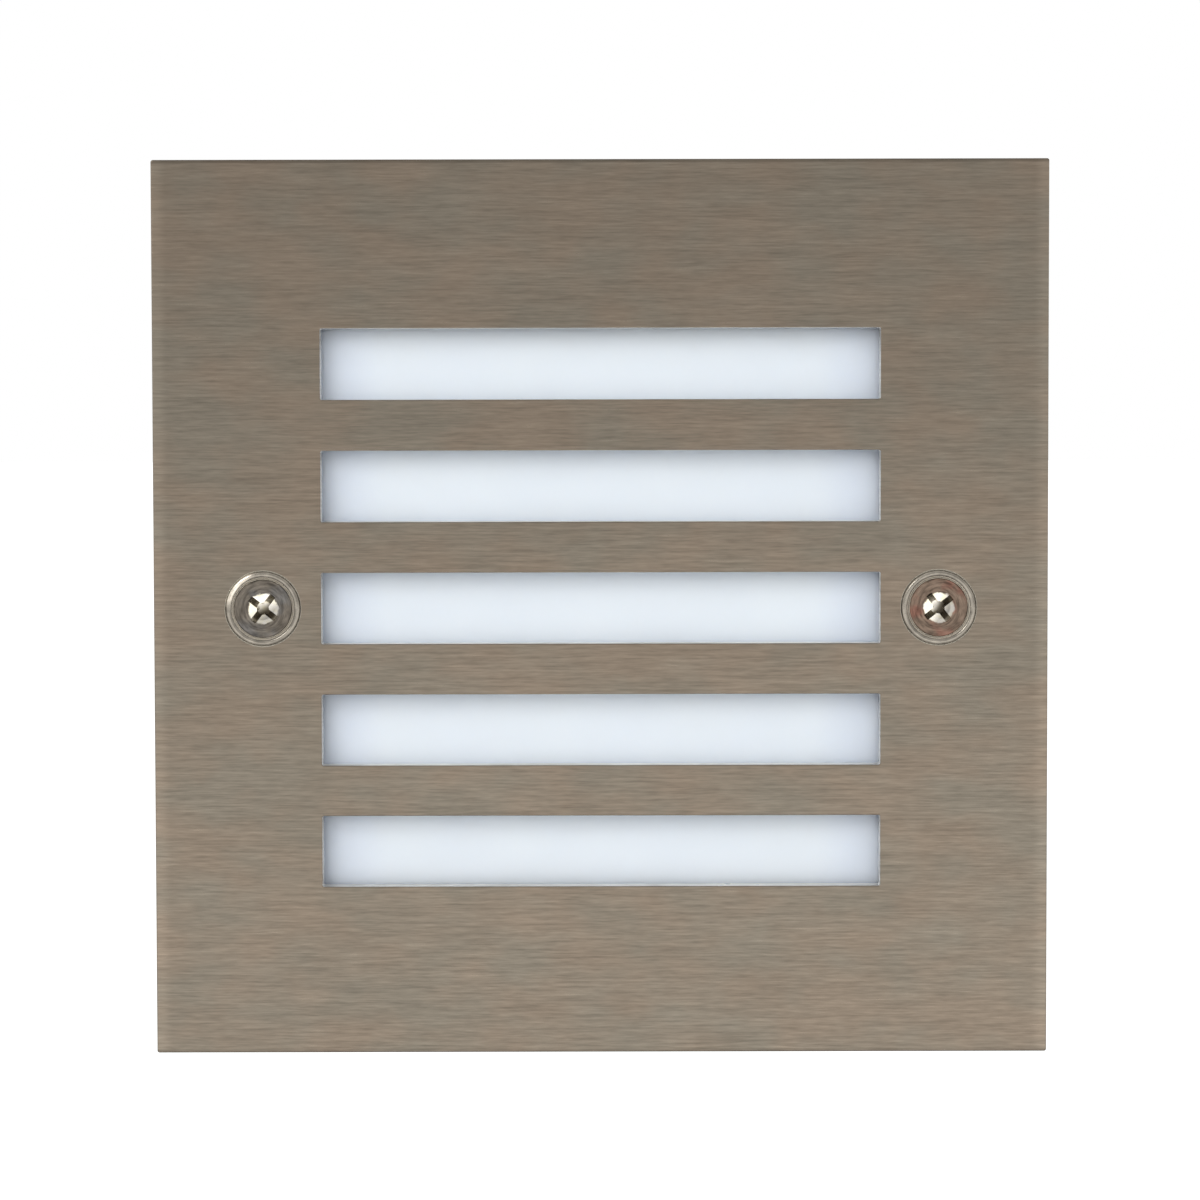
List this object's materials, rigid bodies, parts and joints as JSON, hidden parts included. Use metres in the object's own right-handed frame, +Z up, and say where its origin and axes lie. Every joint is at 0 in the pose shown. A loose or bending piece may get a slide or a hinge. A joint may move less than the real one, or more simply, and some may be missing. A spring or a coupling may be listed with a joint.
{
  "type": "step light",
  "caption": "Square recessed step light: brushed stainless louvre face plate over an opal diffuser, held by countersunk screws to a moulded wall box with LED gear and a cable gland.",
  "frame": {"origin": "centre of the cut-out in the wall, in the plane of the wall's face, where the back of the box's flange lies", "axes": "+X to the right as seen from the front, +Y into the wall, +Z up; the face plate shows at negative Y"},
  "size_m": [0.14, 0.0939, 0.14],
  "materials": {
    "brushed_stainless": "brushed level",
    "polished_stainless": "polished",
    "screw_steel": "satin",
    "zinc_steel": "bright zinc",
    "opal_plastic": "satin opal",
    "black_rubber": "matte",
    "box_plastic": "moulded, fine grain",
    "white_plastic": "satin",
    "white_board": "white solder mask",
    "green_board": "green solder mask",
    "aluminium_sheet": "mill finish",
    "brass": "machined",
    "driver_plastic": "moulded",
    "led_white": "moulded",
    "led_phosphor": "silicone",
    "winding_tape": "tape",
    "capacitor_sleeve": "shrink sleeve",
    "lead_red": "satin",
    "lead_black": "satin",
    "lead_brown": "satin",
    "lead_blue": "satin",
    "gland_nylon": "moulded nylon"
  },
  "bodies": {
    "housing": {"wall_box": "box_plastic", "thread_inserts": "brass", "reflector": "white_plastic", "reflector_screws": "zinc_steel", "led_board": "white_board", "led_packages": "led_white", "led_phosphors": "led_phosphor", "led_connector": "white_plastic", "gear_tray": "aluminium_sheet", "tray_screws": "zinc_steel", "lead_bushing": "black_rubber", "driver_case": "driver_plastic", "driver_lid": "driver_plastic", "driver_board": "green_board", "driver_transformer": "winding_tape", "driver_capacitors": "capacitor_sleeve", "driver_screws": "zinc_steel", "lead_red": "lead_red", "lead_black": "lead_black", "lead_brown": "lead_brown", "lead_blue": "lead_blue", "terminal_body": "white_plastic", "terminal_clamps": "brass", "terminal_screws": "zinc_steel", "terminal_fixing_screws": "zinc_steel", "gland_body": "gland_nylon", "gland_seal": "black_rubber", "gland_nut": "gland_nylon", "entry_washers": "black_rubber", "entry_locknuts": "gland_nylon", "blanking_plug": "gland_nylon"},
    "front": {"face_plate": "brushed_stainless", "face_gasket": "black_rubber", "diffuser_seal": "black_rubber", "diffuser": "opal_plastic", "diffuser_retainer": "zinc_steel", "weld_studs": "zinc_steel", "stud_washers": "zinc_steel", "stud_nuts": "zinc_steel"},
    "left_washer": {"cup_washer_left": "polished_stainless"},
    "left_screw": {"face_screw_left": "screw_steel"},
    "right_washer": {"cup_washer_right": "polished_stainless"},
    "right_screw": {"face_screw_right": "screw_steel"}
  },
  "joints": [
    {"name": "front_pull", "type": "slide", "parent": "housing", "child": "front", "axis": [0, -1, 0], "range_m": [0, 0.06]},
    {"name": "left_screw_travel", "type": "slide", "parent": "front", "child": "left_washer", "axis": [0, -1, 0], "range_m": [0, 0.0144]},
    {"name": "left_screw_turn", "type": "hinge", "parent": "left_washer", "child": "left_screw", "pos_m": [-0.0529, -0.007, 0], "axis": [0, -1, 0], "range_deg": [0, 6480.1]},
    {"name": "right_screw_travel", "type": "slide", "parent": "front", "child": "right_washer", "axis": [0, -1, 0], "range_m": [0, 0.0144]},
    {"name": "right_screw_turn", "type": "hinge", "parent": "right_washer", "child": "right_screw", "pos_m": [0.0529, -0.007, 0], "axis": [0, -1, 0], "range_deg": [0, 6480.1]}
  ],
  "couplings": [
    {"joint": "left_screw_turn", "follows": "left_screw_travel", "rad_per_m": 7854},
    {"joint": "right_screw_turn", "follows": "right_screw_travel", "rad_per_m": 7854}
  ]
}
